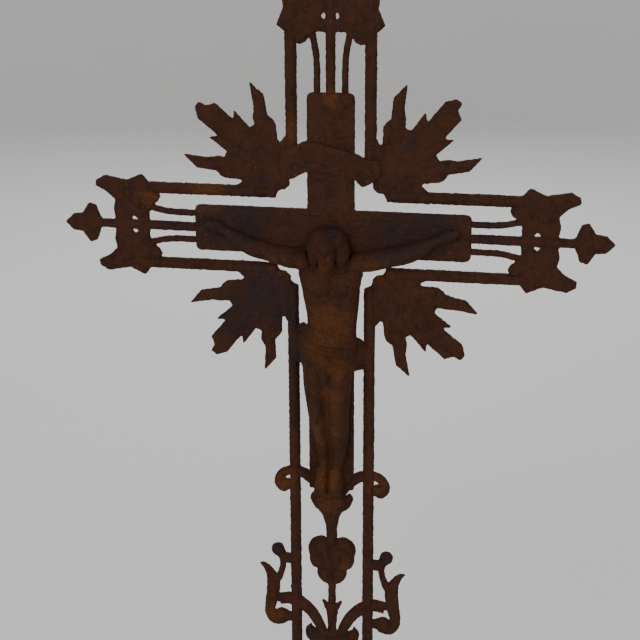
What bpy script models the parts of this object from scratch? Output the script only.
"""Cast iron grave cross with a figure in half relief, cast in one piece.

Two parallel rods outline a Latin cross around a flat inner cross. Ray fans fill the four
corners, leaf ends close the arms, and scrolls, a cup, a leaf and lilies fill the shaft.

Metres, +Z up, front towards -Y. The origin is the middle of the foot's underside. Shapes
are placed from the centre of the crossing, as (x, z) or (x, z, ...), and the finished
casting is raised by CROSSING_HEIGHT.
"""

import math

import bmesh
import bpy
from mathutils import Vector

# Driving dimensions
CROSSING_HEIGHT = 0.880
ROD_SPACING = 0.100
ROD_RADIUS = 0.0074
ROD_SIDES = 8

# Inner cross
PLATE_HALF_WIDTH = 0.030
PLATE_REACH = 0.1775
PLATE_FOOT = -0.3565
PLATE_FRONT = -0.0045
PLATE_BACK = 0.0035
PLATE_CORNER = 0.007
PLATE_CHAMFER = 0.0018

# Bars that tie the inner cross to the leaf ends
MIDDLE_ROD_RADIUS = 0.006
SIDE_BAR_RADIUS = 0.004
SIDE_BAR_DEPTH = 0.0040
SIDE_BAR_OFFSET = 0.0177
SIDE_BAR_FLARE = 0.0240

# Leaf ends: the arms' leaves start here, and the top's a little further out
ARM_LEAF_START = 0.240
TOP_LEAF_START = 0.2515
LEAF_FRONT = -0.0030
LEAF_BACK = 0.0035
LEAF_RISE = 0.0060

# Ray fans
FAN_HUB = ROD_SPACING * 0.75
FAN_LEAN = 2.0
FAN_ALONG_ROD = 0.124
FAN_FRONT = -0.0020
FAN_BACK = 0.0030
FAN_RISE = 0.0055

# Plain ring between the rods, below what the lilies fill; its halves end inside the stem
RING_CENTRE = -0.7180
RING_HALF_WIDTH = 0.045
RING_HALF_HEIGHT = 0.050
RING_RADIUS = 0.0050
RING_GAP = 0.05
RING_STEPS = 8

# Foot
FOOT_HALF_WIDTH = 0.075
FOOT_HALF_DEPTH = 0.028
FOOT_TOP = 0.056

# Colour of the rusted iron
IRON_COLOUR = (0.052, 0.021, 0.012, 1.0)
IRON_ROUGHNESS = 0.8
IRON_METALLIC = 0.2

ROD_OFFSET = ROD_SPACING / 2
GROUND = -CROSSING_HEIGHT


def clear_scene():
    for thing in list(bpy.context.scene.objects):
        bpy.data.objects.remove(thing, do_unlink=True)


def solid(name, bm):
    """Link a closed mesh whose faces point outwards."""
    bmesh.ops.recalc_face_normals(bm, faces=bm.faces)
    mesh = bpy.data.meshes.new(name)
    bm.to_mesh(mesh)
    bm.free()
    thing = bpy.data.objects.new(name, mesh)
    bpy.context.scene.collection.objects.link(thing)
    return thing


def fuse(name, shapes):
    """Union of closed shapes that overlap, as metal cast in one."""
    body = shapes[0]
    for other in shapes[1:]:
        union = body.modifiers.new("union", "BOOLEAN")
        union.operation = "UNION"
        union.solver = "EXACT"
        union.use_self = True
        union.object = other
        evaluated = body.evaluated_get(bpy.context.evaluated_depsgraph_get())
        fused = bpy.data.meshes.new_from_object(evaluated)
        body.modifiers.clear()
        body.data = fused
        bpy.data.objects.remove(other, do_unlink=True)
    body.name = name
    body.data.name = name
    return body


def skin(name, stations, sides, widest, carve=None):
    """Closed skin over stations (x, z, half width, front y, back y) along a line.

    sides is how many faces go round the front and round the back, and widest says how far
    the broadest line lies from the back to the front, from 0 to 1. carve(x, z, share) gives
    a height to raise the front by and a shift along z.
    """
    front_sides, back_sides = sides
    turns = [math.pi * i / front_sides for i in range(front_sides)]
    turns += [math.pi * (1.0 + i / back_sides) for i in range(back_sides)]
    bm = bmesh.new()
    rings = []
    last = len(stations) - 1
    for i, (x, z, half, front, back) in enumerate(stations):
        before, after = stations[max(i - 1, 0)], stations[min(i + 1, last)]
        along = Vector((after[0] - before[0], after[1] - before[1])).normalized()
        middle = back + (front - back) * widest
        ring = []
        for turn in turns:
            reach = half * math.cos(turn)
            share = math.sin(turn)
            y = middle + ((front if share > 0 else back) - middle) * abs(share)
            point = Vector((x - along.y * reach, y, z + along.x * reach))
            if carve:
                rise, shift = carve(point.x, point.z, max(share, 0.0))
                point.y -= rise
                point.z += shift
            ring.append(bm.verts.new(point))
        rings.append(ring)
    for low, high in zip(rings, rings[1:]):
        for side in range(len(turns)):
            beside = (side + 1) % len(turns)
            bm.faces.new((low[side], low[beside], high[beside], high[side]))
    bm.faces.new(rings[0])
    bm.faces.new(rings[-1])
    return solid(name, bm)


def bar(name, stations, half_depth, sides=8, depth=0.0):
    """Bar of oval section along stations (x, z, half width), depth behind the rods' plane."""
    rows = [(x, z, half, depth - half_depth, depth + half_depth) for x, z, half in stations]
    return skin(name, rows, (sides // 2, sides - sides // 2), 0.5)


def mirrored(stations):
    return [(-row[0],) + tuple(row[1:]) for row in stations]


def plate(name, outline, front, back, chamfer):
    """Flat plate over an outline of (x, z) corners, with a chamfer round its front face."""
    bm = bmesh.new()
    rear = [bm.verts.new((x, back, z)) for x, z in outline]
    rim = [bm.verts.new((x, front + chamfer, z)) for x, z in outline]
    count = len(outline)
    for i in range(count):
        after = (i + 1) % count
        bm.faces.new((rear[i], rear[after], rim[after], rim[i]))
    bm.faces.new(rear)
    face = bm.faces.new(rim)
    bmesh.ops.recalc_face_normals(bm, faces=bm.faces)
    bmesh.ops.inset_region(
        bm, faces=[face], thickness=chamfer, depth=chamfer, use_even_offset=True)
    return solid(name, bm)


def star(name, outline, hub, front, back, rings):
    """Plate whose front rises from its outline to a hub in rings of (share, rise).

    Corners far from the hub stay higher than notches beside them, so rays and lobes get
    ridges along them.
    """
    bm = bmesh.new()
    count = len(outline)
    rear = [bm.verts.new((x, back, z)) for x, z in outline]
    rows = [rear]
    for share, rise in rings:
        row = []
        for x, z in outline:
            place = (hub[0] + (x - hub[0]) * share, front - rise, hub[1] + (z - hub[1]) * share)
            row.append(bm.verts.new(place))
        rows.append(row)
    for low, high in zip(rows, rows[1:]):
        for i in range(count):
            after = (i + 1) % count
            bm.faces.new((low[i], low[after], high[after], high[i]))
    bm.faces.new(rear)
    peak = bm.verts.new((hub[0], front - rings[-1][1] * 1.12, hub[1]))
    for i in range(count):
        bm.faces.new((rows[-1][i], rows[-1][(i + 1) % count], peak))
    return solid(name, bm)


def rods():
    """Eight rods that outline the cross; the fans close its four inner corners."""
    corner = ROD_OFFSET + 0.021
    top = TOP_LEAF_START + 0.020
    arm_end = ARM_LEAF_START + 0.020
    bottom = GROUND + 0.5 * FOOT_TOP
    shapes = []
    for side in (-1, 1):
        x = side * ROD_OFFSET
        runs = (
            ((x, corner), (x, top)),
            ((x, -corner), (x, bottom)),
            ((side * corner, ROD_OFFSET), (side * arm_end, ROD_OFFSET)),
            ((side * corner, -ROD_OFFSET), (side * arm_end, -ROD_OFFSET)),
        )
        for start, end in runs:
            stations = [start + (ROD_RADIUS,), end + (ROD_RADIUS,)]
            shapes.append(bar("rod", stations, ROD_RADIUS, ROD_SIDES))
    return shapes


def inner_cross():
    """Latin cross with rounded corners at its three ends."""
    half, reach = PLATE_HALF_WIDTH, PLATE_REACH
    slant = PLATE_CORNER * 0.3

    def end(turn):
        """Corners of one arm's end, for an arm that points up before the turn."""
        arm = [
            (half, reach - PLATE_CORNER),
            (half - slant, reach - slant),
            (half - PLATE_CORNER, reach),
        ]
        arm += [(-x, z) for x, z in reversed(arm)]
        c, s = math.cos(turn), math.sin(turn)
        return [(x * c - z * s, x * s + z * c) for x, z in arm]

    outline = end(0.0) + [(-half, half)] + end(math.pi / 2)
    outline += [(-half, -half), (-half, PLATE_FOOT), (half, PLATE_FOOT), (half, -half)]
    outline += end(-math.pi / 2) + [(half, half)]
    return plate("inner cross", outline, PLATE_FRONT, PLATE_BACK, PLATE_CHAMFER)


def turned(points, quarter):
    """Points (u, v) of a part that points up, turned a quarter at a time to the left."""
    for _ in range(quarter % 4):
        points = [(-v, u) + tuple(rest) for u, v, *rest in points]
    return points


# Half of a leaf end, for an arm that points up: (across, beyond the leaf's start)
LEAF_OUTLINE = (
    (0.0020, 0.000), (0.0200, 0.000), (0.0275, -0.006), (0.0310, -0.012), (0.0375, -0.0155),
    (0.0430, -0.014), (0.0500, -0.004), (0.0575, 0.000), (0.0670, 0.008), (0.0580, 0.028),
    (0.0635, 0.058), (0.0570, 0.069), (0.0500, 0.070), (0.0425, 0.055), (0.0320, 0.044),
    (0.0200, 0.047), (0.0020, 0.044),
)
LEAF_HUB = (0.042, 0.022)
LEAF_HOLE = ((0.0075, 0.012), (0.0125, 0.019), (0.0075, 0.026))
TIP_OUTLINE = (
    (0.0070, 0.066), (0.0230, 0.072), (0.0260, 0.081), (0.0120, 0.090), (0.0105, 0.103),
    (0.0000, 0.114),
)
TIP_HUB = (0.0, 0.082)


def leaf_end(quarter, start):
    """Two lobed leaves on the rods' ends, and a smaller one on the middle rod's tip."""
    shapes = []
    for side in (-1, 1):
        outline = [(side * u, start + v) for u, v in LEAF_OUTLINE]
        hub = turned([(side * LEAF_HUB[0], start + LEAF_HUB[1])], quarter)[0]
        leaf = star("leaf", turned(outline, quarter), hub, LEAF_FRONT, LEAF_BACK,
                    ((1.0, 0.0), (0.55, LEAF_RISE * 0.75)))
        hole = turned([(side * u, start + v) for u, v in LEAF_HOLE], quarter)
        punch = plate("hole", hole, -0.030, 0.030, 0.0005)
        cut = leaf.modifiers.new("hole", "BOOLEAN")
        cut.operation = "DIFFERENCE"
        cut.object = punch
        evaluated = leaf.evaluated_get(bpy.context.evaluated_depsgraph_get())
        leaf_mesh = bpy.data.meshes.new_from_object(evaluated)
        leaf.modifiers.clear()
        leaf.data = leaf_mesh
        bpy.data.objects.remove(punch, do_unlink=True)
        shapes.append(leaf)

        bow = start - PLATE_REACH
        stations = [
            (side * SIDE_BAR_OFFSET, PLATE_REACH - 0.004, SIDE_BAR_RADIUS),
            (side * SIDE_BAR_OFFSET, PLATE_REACH + 0.40 * bow, SIDE_BAR_RADIUS),
            (side * (SIDE_BAR_OFFSET + 0.0016), PLATE_REACH + 0.70 * bow, SIDE_BAR_RADIUS),
            (side * SIDE_BAR_FLARE, start + 0.002, SIDE_BAR_RADIUS),
        ]
        shapes.append(
            bar("side bar", turned(stations, quarter), SIDE_BAR_RADIUS, 6, SIDE_BAR_DEPTH))

    tip = [(u, start + v) for u, v in TIP_OUTLINE]
    tip += [(-u, v) for u, v in reversed(tip[:-1])]
    hub = turned([(TIP_HUB[0], start + TIP_HUB[1])], quarter)[0]
    shapes.append(star("tip leaf", turned(tip, quarter), hub, LEAF_FRONT, LEAF_BACK,
                       ((1.0, 0.0), (0.6, LEAF_RISE * 0.6))))
    rod = [(0.0, PLATE_REACH - 0.004, MIDDLE_ROD_RADIUS),
           (0.0, start + 0.078, MIDDLE_ROD_RADIUS)]
    shapes.append(bar("middle rod", turned(rod, quarter), MIDDLE_ROD_RADIUS, 8))
    return shapes


# Half of a ray fan, from the rod's notch to its middle ray: (degrees from the fan's middle,
# distance from its hub). The long ray has two shoulders on its outer side, the small ray
# leans on the middle one, and the middle ray is blunt with a nick in its end.
LONG_RAY = (
    (61.8, 0.0397), (56.0, 0.0433), (51.4, 0.0624), (47.9, 0.0676), (42.6, 0.0726),
    (41.2, 0.0982), (33.2, 0.1170), (32.0, 0.0863), (28.3, 0.0742), (27.2, 0.0639),
)
SMALL_RAY = ((19.5, 0.0632), (15.2, 0.0920), (11.4, 0.0835), (9.6, 0.0843))
BLUNT_RAY = ((8.2, 0.1157), (3.9, 0.1269), (0.2, 0.1281), (-1.0, 0.1181), (-6.7, 0.1128))
# How far each fan's first long ray leans from the pattern, in degrees
LONG_RAY_LEANS = (0.0, 0.0, 2.6, -1.8)
# Scallops of the frame's inner corner, half of them: (u, v) from the crossing's centre
SCALLOP = ((0.0730, 0.0430), (0.0670, 0.0530), (0.0590, 0.0540))


def fan(quarter):
    """Ray fan in the upper right corner, turned a quarter at a time to the left."""
    long_ray = [(turn + LONG_RAY_LEANS[quarter] * (reach > FAN_HUB), reach)
                for turn, reach in LONG_RAY]
    half = list(LONG_RAY + SMALL_RAY)
    rays = long_ray + list(SMALL_RAY + BLUNT_RAY)
    rays += [(-turn, reach) for turn, reach in reversed(half)]
    outline = []
    for turn, reach in rays:
        angle = math.radians(45.0 + FAN_LEAN + turn)
        outline.append((FAN_HUB + reach * math.cos(angle), FAN_HUB + reach * math.sin(angle)))
    arm_side = [(FAN_ALONG_ROD, ROD_OFFSET + 0.0065), (FAN_ALONG_ROD, ROD_OFFSET - 0.004)]
    shaft_side = [(v, u) for u, v in reversed(arm_side)]
    outline += arm_side + list(SCALLOP) + [(v, u) for u, v in reversed(SCALLOP)] + shaft_side
    return star("ray fan", turned(outline, quarter), turned([(FAN_HUB, FAN_HUB)], quarter)[0],
                FAN_FRONT, FAN_BACK, ((1.0, 0.0), (0.5, FAN_RISE * 0.6)))


def ribbon():
    """Ribbon across the shaft above the figure, with its ends on the fans."""
    outline = (
        (-0.0660, 0.0760), (-0.0500, 0.0690), (-0.0400, 0.0740), (-0.0310, 0.0785),
        (0.0000, 0.0765), (0.0300, 0.0730), (0.0360, 0.0690), (0.0420, 0.0620),
        (0.0460, 0.0660), (0.0500, 0.0720), (0.0640, 0.0760), (0.0620, 0.0960),
        (0.0440, 0.0985), (0.0300, 0.1040), (0.0000, 0.1120), (-0.0300, 0.1175),
        (-0.0430, 0.1120), (-0.0640, 0.1060),
    )
    return [plate("ribbon", outline, -0.0085, -0.0012, 0.0012)]


def bump(x, z, place, size, height):
    """Rounded hill of the given half sizes."""
    return height * math.exp(-((x - place[0]) / size[0]) ** 2 - ((z - place[1]) / size[1]) ** 2)


def trunk():
    """Chest and belly from the shoulders to the hips."""
    stations = [
        (0.0010, -0.0340, 0.0280, -0.0230, 0.0010),
        (0.0015, -0.0470, 0.0410, -0.0305, 0.0010),
        (0.0018, -0.0580, 0.0398, -0.0335, 0.0010),
        (0.0022, -0.0690, 0.0378, -0.0345, 0.0010),
        (0.0028, -0.0800, 0.0364, -0.0340, 0.0010),
        (0.0032, -0.0920, 0.0348, -0.0335, 0.0010),
        (0.0034, -0.1040, 0.0332, -0.0315, 0.0010),
        (0.0030, -0.1170, 0.0320, -0.0300, 0.0010),
        (0.0022, -0.1300, 0.0325, -0.0300, 0.0010),
        (-0.0005, -0.1600, 0.0330, -0.0310, 0.0010),
    ]

    def carve(x, z, share):
        rise = 0.0
        for side in (-1, 1):
            rise += bump(x, z, (0.002 + side * 0.0180, -0.0640), (0.0140, 0.0110), 0.0040)
            rise += bump(x, z, (0.002 + side * 0.0190, -0.0930), (0.0110, 0.0120), 0.0032)
        rise -= bump(x, z, (0.002, -0.0700), (0.0040, 0.0200), 0.0018)
        rise -= bump(x, z, (0.002, -0.0980), (0.0070, 0.0080), 0.0030)
        rise += bump(x, z, (0.002, -0.1180), (0.0150, 0.0100), 0.0032)
        return rise * share, 0.0

    return skin("trunk", stations, (12, 2), 0.40, carve)


ARM = [
    (0.0300, -0.0345, 0.0105, -0.0250, 0.0012),
    (0.0460, -0.0328, 0.0128, -0.0285, 0.0012),
    (0.0620, -0.0300, 0.0124, -0.0270, 0.0012),
    (0.0780, -0.0262, 0.0116, -0.0250, 0.0012),
    (0.0920, -0.0230, 0.0118, -0.0245, 0.0012),
    (0.1040, -0.0192, 0.0113, -0.0235, 0.0012),
    (0.1200, -0.0112, 0.0092, -0.0200, 0.0012),
    (0.1350, -0.0020, 0.0061, -0.0160, 0.0012),
    (0.1460, 0.0024, 0.0082, -0.0148, 0.0012),
    (0.1530, 0.0045, 0.0083, -0.0140, 0.0012),
]
FINGER_SPREAD = (-30, -6, 6, 18, 30)
FINGER_LENGTH = (0.011, 0.014, 0.016, 0.015, 0.012)
PALM = (0.1490, 0.0030)


def arm(side):
    """Arm from the shoulder up to the wrist and the open hand."""
    shapes = [skin("arm", ARM if side > 0 else mirrored(ARM), (6, 3), 0.42)]
    for turn, length in zip(FINGER_SPREAD, FINGER_LENGTH):
        angle = math.radians(18 + turn)
        c, s = math.cos(angle), math.sin(angle)
        finger = [
            (side * (PALM[0] + reach * c), PALM[1] + reach * s, half, -0.0125, -0.0030)
            for reach, half in ((0.002, 0.0022), (length, 0.0017))
        ]
        shapes.append(skin("finger", finger, (2, 2), 0.5))
    return shapes


LEFT_LEG = [
    (-0.0194, -0.1700, 0.0158, -0.0335, 0.0005),
    (-0.0184, -0.1960, 0.0156, -0.0350, 0.0005),
    (-0.0172, -0.2150, 0.0142, -0.0365, 0.0005),
    (-0.0152, -0.2380, 0.0120, -0.0400, 0.0005),
    (-0.0130, -0.2520, 0.0111, -0.0365, 0.0005),
    (-0.0105, -0.2680, 0.0104, -0.0325, 0.0005),
    (-0.0080, -0.2860, 0.0095, -0.0285, 0.0005),
    (-0.0070, -0.3040, 0.0080, -0.0245, 0.0005),
    (-0.0076, -0.3180, 0.0075, -0.0235, 0.0005),
    (-0.0088, -0.3400, 0.0090, -0.0300, 0.0005),
    (-0.0086, -0.3530, 0.0084, -0.0280, 0.0005),
    (-0.0084, -0.3590, 0.0056, -0.0235, 0.0005),
]
RIGHT_LEG = [
    (0.0125, -0.1700, 0.0167, -0.0330, 0.0008),
    (0.0122, -0.1960, 0.0168, -0.0340, 0.0008),
    (0.0118, -0.2150, 0.0158, -0.0352, 0.0008),
    (0.0120, -0.2380, 0.0141, -0.0385, 0.0008),
    (0.0126, -0.2560, 0.0134, -0.0388, 0.0008),
    (0.0130, -0.2700, 0.0124, -0.0345, 0.0008),
    (0.0122, -0.2860, 0.0110, -0.0300, 0.0008),
    (0.0104, -0.3050, 0.0091, -0.0255, 0.0008),
    (0.0088, -0.3180, 0.0083, -0.0240, 0.0008),
    (0.0082, -0.3400, 0.0090, -0.0305, 0.0008),
    (0.0080, -0.3530, 0.0084, -0.0285, 0.0008),
    (0.0076, -0.3590, 0.0056, -0.0240, 0.0008),
]


# Locks of hair beside the face, from the parting down to the shoulder: (x, z, half width)
INNER_LOCK = (
    (0.0030, 0.0048, 0.0034), (0.0125, -0.0010, 0.0043), (0.0165, -0.0130, 0.0042),
    (0.0160, -0.0290, 0.0048), (0.0172, -0.0430, 0.0030),
)
OUTER_LOCK = (
    (0.0085, 0.0055, 0.0038), (0.0190, -0.0015, 0.0050), (0.0222, -0.0150, 0.0047),
    (0.0218, -0.0310, 0.0052), (0.0232, -0.0455, 0.0028),
)


def head():
    """Bowed head: parted hair down to the shoulders and a plain bearded face."""
    scalp = [
        (0.0000, 0.0098, 0.0060, -0.0160, 0.0010),
        (0.0000, 0.0060, 0.0165, -0.0265, 0.0010),
        (-0.0005, -0.0020, 0.0228, -0.0310, 0.0010),
        (-0.0010, -0.0150, 0.0260, -0.0280, 0.0010),
        (-0.0010, -0.0320, 0.0260, -0.0250, 0.0010),
        (0.0000, -0.0440, 0.0220, -0.0250, 0.0010),
    ]
    face = [
        (0.0002, 0.0020, 0.0095, -0.0320, -0.0100),
        (-0.0005, -0.0060, 0.0130, -0.0405, -0.0100),
        (-0.0010, -0.0130, 0.0138, -0.0440, -0.0100),
        (-0.0010, -0.0172, 0.0136, -0.0435, -0.0100),
        (-0.0010, -0.0210, 0.0133, -0.0435, -0.0100),
        (-0.0010, -0.0250, 0.0128, -0.0440, -0.0100),
        (-0.0010, -0.0290, 0.0120, -0.0440, -0.0100),
        (-0.0010, -0.0325, 0.0112, -0.0445, -0.0100),
        (-0.0008, -0.0370, 0.0088, -0.0440, -0.0100),
        (-0.0005, -0.0415, 0.0046, -0.0405, -0.0100),
    ]

    def features(x, z, share):
        rise = bump(x, z, (-0.001, -0.0225), (0.0022, 0.0050), 0.0060)
        rise += bump(x, z, (-0.001, -0.0135), (0.0100, 0.0022), 0.0014)
        for side in (-1, 1):
            rise -= bump(x, z, (-0.001 + side * 0.0060, -0.0175), (0.0030, 0.0024), 0.0030)
            rise += bump(x, z, (-0.001 + side * 0.0082, -0.0230), (0.0032, 0.0032), 0.0014)
        rise -= bump(x, z, (-0.001, -0.0292), (0.0060, 0.0014), 0.0022)
        return rise * share, 0.0

    shapes = [skin("scalp", scalp, (8, 2), 0.40), skin("face", face, (12, 2), 0.35, features)]
    locks = (("inner lock", INNER_LOCK, -0.0395), ("outer lock", OUTER_LOCK, -0.0370))
    for name, lock, front in locks:
        strand = [(x, z, half, front, -0.009) for x, z, half in lock]
        shapes.append(skin(name, strand, (4, 2), 0.45))
        shapes.append(skin(name, mirrored(strand), (4, 2), 0.44))
    return shapes


CLOTH_WAVE = 0.0150


def loincloth():
    """Knotted cloth round the hips, drawn across to both rods."""
    around = [
        (0.0010, -0.1230, 0.0325, -0.0315, 0.0014),
        (0.0005, -0.1290, 0.0348, -0.0365, 0.0014),
        (0.0000, -0.1395, 0.0362, -0.0380, 0.0014),
        (-0.0005, -0.1500, 0.0370, -0.0388, 0.0014),
        (-0.0010, -0.1610, 0.0370, -0.0390, 0.0014),
        (-0.0012, -0.1720, 0.0358, -0.0380, 0.0014),
        (-0.0012, -0.1800, 0.0335, -0.0335, 0.0014),
    ]

    def folds(x, z, share):
        wave = math.sin(2 * math.pi * (0.50 * x + 0.87 * z) / CLOTH_WAVE)
        lift = max(0.0, min(1.0, (z + 0.181) / 0.058))
        return 0.0016 * wave * share, -0.22 * x * lift

    shapes = [skin("loincloth", around, (14, 2), 0.40, folds)]
    left = [
        (-0.0260, -0.1470, 0.0300, -0.0260, 0.0018),
        (-0.0350, -0.1495, 0.0280, -0.0190, 0.0018),
        (-0.0430, -0.1510, 0.0262, -0.0120, 0.0018),
        (-0.0530, -0.1510, 0.0262, -0.0085, 0.0018),
    ]
    right = [
        (0.0230, -0.1585, 0.0255, -0.0262, 0.0022),
        (0.0340, -0.1610, 0.0235, -0.0192, 0.0022),
        (0.0430, -0.1625, 0.0190, -0.0122, 0.0022),
        (0.0530, -0.1625, 0.0190, -0.0088, 0.0022),
    ]
    for name, stations in (("left drape", left), ("right drape", right)):
        shapes.append(skin(name, stations, (7, 3), 0.40))
    hanging = [
        (-0.0040, -0.1640, 0.0060, -0.0420, -0.0100),
        (-0.0040, -0.1720, 0.0090, -0.0430, -0.0100),
        (-0.0035, -0.1820, 0.0085, -0.0420, -0.0100),
        (-0.0030, -0.1910, 0.0075, -0.0400, -0.0100),
        (-0.0030, -0.1970, 0.0050, -0.0370, -0.0100),
    ]
    shapes.append(skin("hanging end", hanging, (5, 2), 0.40))
    return shapes


def figure():
    legs = [skin("leg", stations, (6, 2), 0.42) for stations in (LEFT_LEG, RIGHT_LEG)]
    body = fuse("body", [trunk()] + arm(-1) + arm(1) + legs)
    return [body, fuse("cloth", loincloth()), fuse("head", head())]


def both(name, stations, half_depth, depth, sides=6):
    """The same bar on the left and on the right."""
    return [bar(name, row, half_depth, sides, depth) for row in (stations, mirrored(stations))]


def bracket():
    """C-scrolls from under the feet over the rods to a curl outside each."""
    scroll = [
        (0.0120, -0.3660, 0.0050), (0.0210, -0.3520, 0.0068), (0.0290, -0.3430, 0.0074),
        (0.0390, -0.3367, 0.0074), (0.0500, -0.3340, 0.0070), (0.0600, -0.3350, 0.0064),
        (0.0675, -0.3395, 0.0064), (0.0714, -0.3465, 0.0068), (0.0712, -0.3540, 0.0074),
        (0.0662, -0.3590, 0.0072), (0.0600, -0.3555, 0.0062), (0.0540, -0.3550, 0.0060),
    ]
    return both("scroll", scroll, 0.0062, 0.0009)


def cup():
    """Leaf cup under the feet, drawn down into the stem."""
    bowl = [
        (-0.0002, -0.3560, 0.0170, -0.0150, 0.0050), (-0.0002, -0.3640, 0.0200, -0.0180, 0.0050),
        (-0.0003, -0.3740, 0.0216, -0.0180, 0.0050), (-0.0003, -0.3850, 0.0180, -0.0150, 0.0050),
        (-0.0002, -0.3940, 0.0124, -0.0120, 0.0050), (0.0, -0.4050, 0.0093, -0.0095, 0.0050),
        (0.0, -0.4170, 0.0074, -0.0080, 0.0050), (0.0, -0.4400, 0.0068, -0.0075, 0.0050),
    ]
    shapes = [skin("cup", bowl, (6, 3), 0.40)]
    lip = [(0.0140, -0.3880, 0.0046), (0.0200, -0.3790, 0.0056), (0.0235, -0.3712, 0.0054),
           (0.0238, -0.3665, 0.0040)]
    shapes += both("lip", lip, 0.0062, 0.0005, 4)
    return shapes


def vine_leaf():
    """Leaf in three tiers of lobes, with the stem down its middle."""
    side = (
        (0.0075, -0.4315), (0.0160, -0.4300), (0.0255, -0.4335), (0.0310, -0.4410),
        (0.0325, -0.4490), (0.0305, -0.4610), (0.0285, -0.4710), (0.0215, -0.4790),
        (0.0195, -0.4860), (0.0160, -0.4940), (0.0105, -0.4995),
    )
    outline = list(side) + [(0.0, -0.5050)]
    outline += [(-x, z) for x, z in reversed(side)]
    shapes = [star("leaf", outline, (0.0, -0.4600), -0.0020, 0.0035,
                   ((1.0, 0.0), (0.7, 0.0060)))]
    stem = [(0.0, -0.4980, 0.0052), (0.0, -0.5740, 0.0052)]
    shapes.append(bar("stem", stem, 0.0055, 8, 0.0001))
    return shapes


def sprout():
    """Two pointed leaflets on the stem, over curled lobes that the arms spring from."""
    sheath = [(0.0, -0.5300, 0.0090), (0.0, -0.5420, 0.0085), (0.0, -0.5560, 0.0068),
              (0.0, -0.5720, 0.0062), (0.0, -0.5960, 0.0110), (0.0, -0.6180, 0.0066),
              (0.0, -0.6280, 0.0034)]
    shapes = [bar("sheath", sheath, 0.0066, 8, 0.0004)]
    leaflet = [(0.0060, -0.5420, 0.0035), (0.0095, -0.5330, 0.0028), (0.0130, -0.5285, 0.0018)]
    shapes += both("leaflet", leaflet, 0.0035, 0.0006, 4)
    lobe = [
        (0.0020, -0.5990, 0.0078), (0.0150, -0.5920, 0.0080), (0.0255, -0.5860, 0.0092),
        (0.0295, -0.5790, 0.0088), (0.0296, -0.5725, 0.0062),
    ]
    shapes += both("curled lobe", lobe, 0.0070, 0.0007)
    return shapes


def lilies():
    """Lilies outside the rods, each with a stamen, a curl below and an arm from the stem."""
    shapes = []
    spring = [
        (0.0100, -0.5940, 0.0060), (0.0140, -0.5760, 0.0068), (0.0195, -0.5630, 0.0074),
        (0.0265, -0.5510, 0.0079), (0.0355, -0.5410, 0.0085), (0.0470, -0.5330, 0.0090),
        (0.0600, -0.5295, 0.0089), (0.0820, -0.5340, 0.0080),
    ]
    shapes += both("arm of the lily", spring, 0.0058, 0.0002)
    petal = [
        (0.1005, -0.4785, 0.0020), (0.0940, -0.4820, 0.0042), (0.0880, -0.4900, 0.0062),
        (0.0840, -0.5000, 0.0084), (0.0828, -0.5110, 0.0094), (0.0842, -0.5240, 0.0090),
        (0.0864, -0.5370, 0.0084), (0.0882, -0.5480, 0.0076), (0.0866, -0.5580, 0.0078),
        (0.0810, -0.5630, 0.0094), (0.0740, -0.5615, 0.0108), (0.0670, -0.5585, 0.0100),
        (0.0600, -0.5585, 0.0074), (0.0520, -0.5590, 0.0072),
    ]
    shapes += both("petal", petal, 0.0062, 0.0005)
    stamen = [
        (0.0785, -0.5060, 0.0055), (0.0725, -0.4920, 0.0046), (0.0688, -0.4780, 0.0042),
        (0.0690, -0.4670, 0.0052), (0.0712, -0.4615, 0.0072), (0.0742, -0.4560, 0.0090),
        (0.0762, -0.4505, 0.0074), (0.0772, -0.4470, 0.0030),
    ]
    shapes += both("stamen", stamen, 0.0055, 0.0008)
    link = [(0.0500, -0.4670, 0.0080), (0.0690, -0.4670, 0.0075)]
    shapes += both("link", link, 0.0052, 0.0003, 4)
    return shapes


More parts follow.
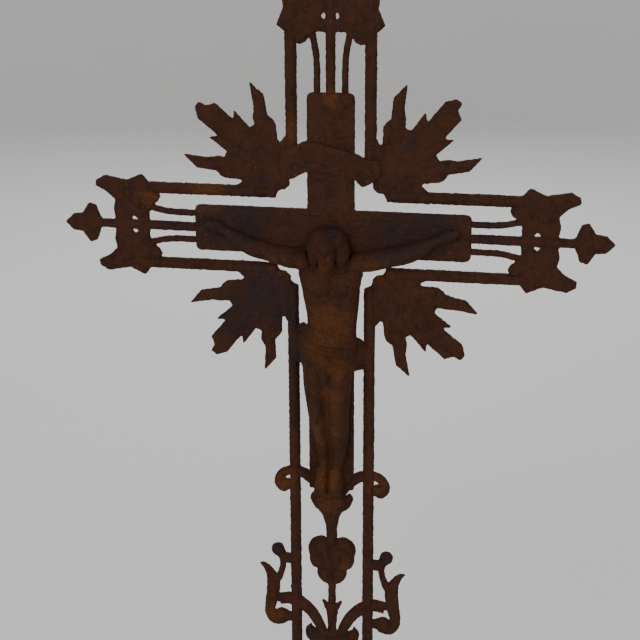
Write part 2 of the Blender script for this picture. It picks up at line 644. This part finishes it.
def lower_shaft():
    """Plain stem and ring between the rods below the lilies, and the moulded foot."""
    stations = []
    for step in range(RING_STEPS + 1):
        angle = RING_GAP + (math.pi - 2 * RING_GAP) * step / RING_STEPS
        x = RING_HALF_WIDTH * math.sin(angle)
        z = RING_CENTRE + RING_HALF_HEIGHT * math.cos(angle)
        stations.append((x, z, RING_RADIUS))
    shapes = both("ring", stations, RING_RADIUS, 0.0005)
    stem = [(0.0, -0.6140, 0.0050), (0.0, GROUND + 0.4 * FOOT_TOP, 0.0050)]
    shapes.append(bar("lower stem", stem, 0.0054, 6, 0.0009))

    profile = (
        (0.0, 1.0, 1.0), (0.030, 1.0, 1.0), (0.036, 0.95, 0.88), (0.044, 0.88, 0.70),
        (0.050, 0.88, 0.70), (FOOT_TOP, 0.84, 0.60),
    )
    bm = bmesh.new()
    rows = []
    for height, width, depth in profile:
        x, y = FOOT_HALF_WIDTH * width, FOOT_HALF_DEPTH * depth
        corners = ((-x, -y), (x, -y), (x, y), (-x, y))
        rows.append([bm.verts.new((a, b, GROUND + height)) for a, b in corners])
    for low, high in zip(rows, rows[1:]):
        for i in range(4):
            after = (i + 1) % 4
            bm.faces.new((low[i], low[after], high[after], high[i]))
    bm.faces.new(rows[0])
    bm.faces.new(rows[-1])
    shapes.append(solid("foot", bm))
    return shapes


def iron():
    material = bpy.data.materials.new("rusted cast iron")
    material.use_nodes = True
    shader = material.node_tree.nodes["Principled BSDF"]
    shader.inputs["Base Color"].default_value = IRON_COLOUR
    shader.inputs["Roughness"].default_value = IRON_ROUGHNESS
    shader.inputs["Metallic"].default_value = IRON_METALLIC
    return material


def main():
    clear_scene()
    groups = [
        rods() + [fan(quarter) for quarter in range(4)],
        [inner_cross()] + ribbon(),
        leaf_end(0, TOP_LEAF_START),
        leaf_end(1, ARM_LEAF_START),
        leaf_end(3, ARM_LEAF_START),
        figure(),
        bracket() + cup() + vine_leaf(),
        sprout() + lilies(),
        lower_shaft(),
    ]
    casting = fuse("crucifix", [fuse("group", group) for group in groups])
    casting.data.materials.clear()
    casting.data.materials.append(iron())
    casting.location = (0.0, 0.0, CROSSING_HEIGHT)


main()
